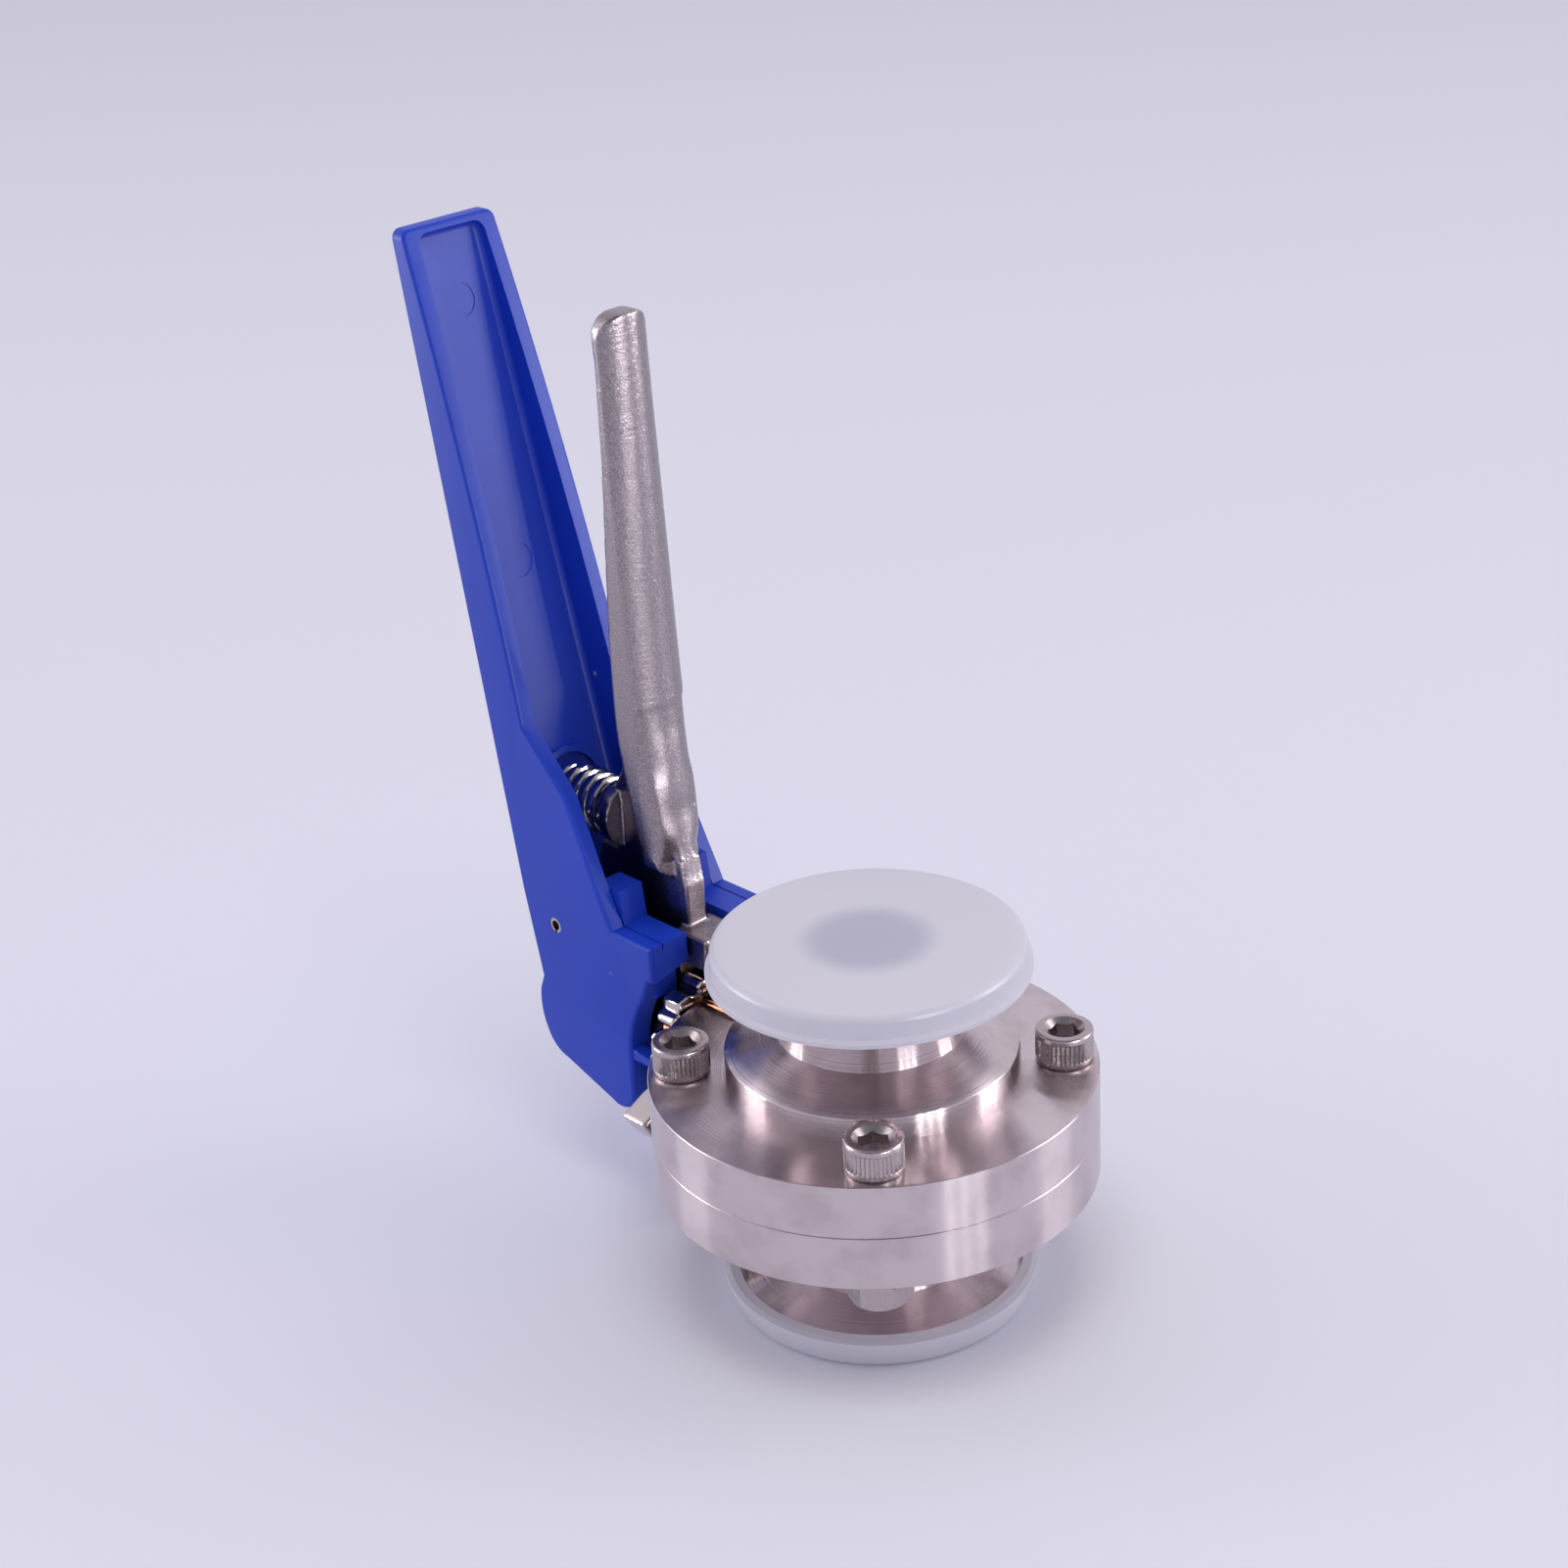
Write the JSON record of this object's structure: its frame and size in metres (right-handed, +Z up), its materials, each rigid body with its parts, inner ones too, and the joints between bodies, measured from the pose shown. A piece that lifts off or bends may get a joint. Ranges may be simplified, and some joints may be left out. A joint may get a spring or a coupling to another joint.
{
  "type": "sanitary butterfly valve",
  "caption": "Stainless sanitary butterfly valve with clamp ends, an indexed upright lever with a blue squeeze trigger, and slip-on dust caps on both ports.",
  "frame": {"origin": "on the valve's bore axis at the rest face, the underside of the lower dust cap", "axes": "+Z up along the bore, the stem and handle stand out along -X, +Y completes the right-handed frame"},
  "size_m": [0.1403, 0.078, 0.1771],
  "materials": {
    "turned_stainless": "turned and polished",
    "cast_stainless": "investment cast, bead blasted, edges polished",
    "fastener_steel": "cold headed, knurled",
    "spring_steel": "bright drawn wire",
    "seat_rubber": "moulded",
    "bush_plastic": "machined",
    "blue_nylon": "moulded, fine spark texture",
    "cap_polyethylene": "moulded, milky translucent"
  },
  "bodies": {
    "valve_body": {"upper_body": "turned_stainless", "lower_body": "turned_stainless", "seat_ring": "seat_rubber", "stem_bush": "bush_plastic", "end_bush": "bush_plastic", "index_plate": "cast_stainless", "cap_screw_1": "fastener_steel", "cap_screw_2": "fastener_steel", "cap_screw_3": "fastener_steel", "cap_screw_4": "fastener_steel", "hex_nut_1": "fastener_steel", "hex_nut_2": "fastener_steel", "hex_nut_3": "fastener_steel", "hex_nut_4": "fastener_steel"},
    "lever": {"disc_with_stem": "turned_stainless", "lever": "cast_stainless", "lever_screw": "fastener_steel", "lever_washer": "fastener_steel", "pivot_pin": "fastener_steel", "trigger_spring": "spring_steel"},
    "trigger": {"trigger": "blue_nylon"},
    "top_cap": {"top_cap": "cap_polyethylene"},
    "bottom_cap": {"bottom_cap": "cap_polyethylene"}
  },
  "joints": [
    {"name": "lever_turn", "type": "hinge", "parent": "valve_body", "child": "lever", "pos_m": [0, 0, 0.03425], "axis": [-1, 0, 0], "range_deg": [0, 90]},
    {"name": "trigger_squeeze", "type": "hinge", "parent": "lever", "child": "trigger", "pos_m": [-0.0676, 0, 0.05305], "axis": [0, 1, 0], "range_deg": [0, 7], "stiffness_Nm_per_rad": 0.8, "springref_deg": -14.32, "deforming": ["trigger_spring"]},
    {"name": "top_cap_pull", "type": "slide", "parent": "valve_body", "child": "top_cap", "axis": [0, 0, 1], "range_m": [0, 0.012]},
    {"name": "bottom_cap_pull", "type": "slide", "parent": "valve_body", "child": "bottom_cap", "axis": [0, 0, -1], "range_m": [0, 0.012]}
  ]
}
